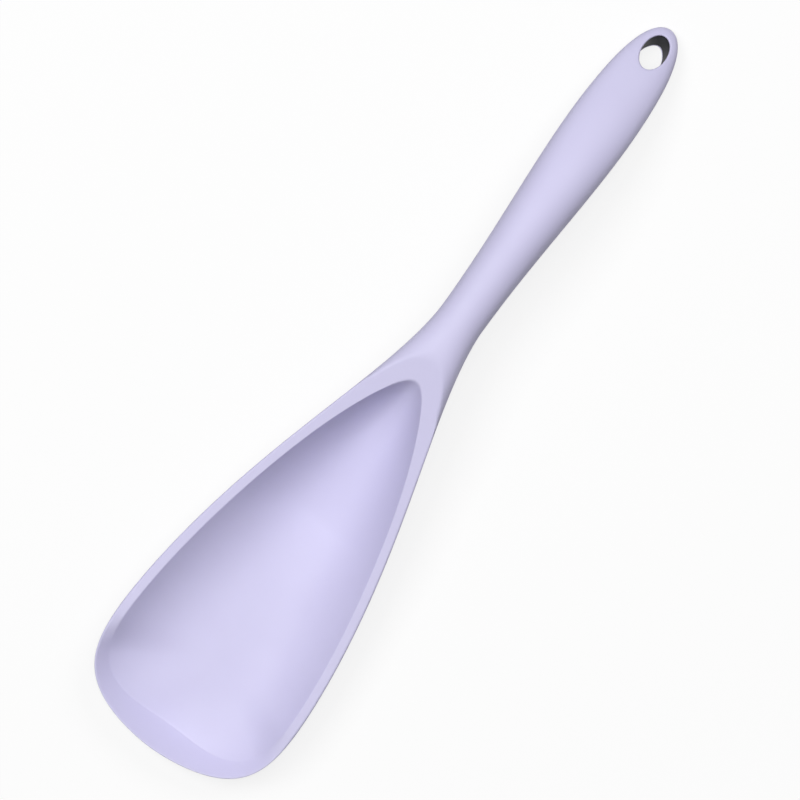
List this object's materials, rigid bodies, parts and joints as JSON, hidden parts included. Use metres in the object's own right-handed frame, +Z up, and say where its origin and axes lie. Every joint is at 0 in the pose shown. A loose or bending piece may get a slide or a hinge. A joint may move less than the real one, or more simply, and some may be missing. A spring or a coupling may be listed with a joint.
{
  "type": "silicone duckbill spatula",
  "caption": "Overmoulded kitchen spatula with a broad scoop-shaped head, thin scraping lip, slim neck and arched grip with an oval hanging hole.",
  "frame": {"origin": "on the table that the tool lies on, under the middle of its length", "axes": "+X from the scraping tip to the hanging end, +Y across the tool, +Z up out of the bowl"},
  "size_m": [0.285, 0.0696, 0.0325],
  "materials": {
    "silicone": "matte moulded lavender silicone",
    "nylon": "charcoal glass-filled nylon"
  },
  "bodies": {
    "root": {"silicone_skin": "silicone", "nylon_core": "nylon"}
  },
  "joints": []
}
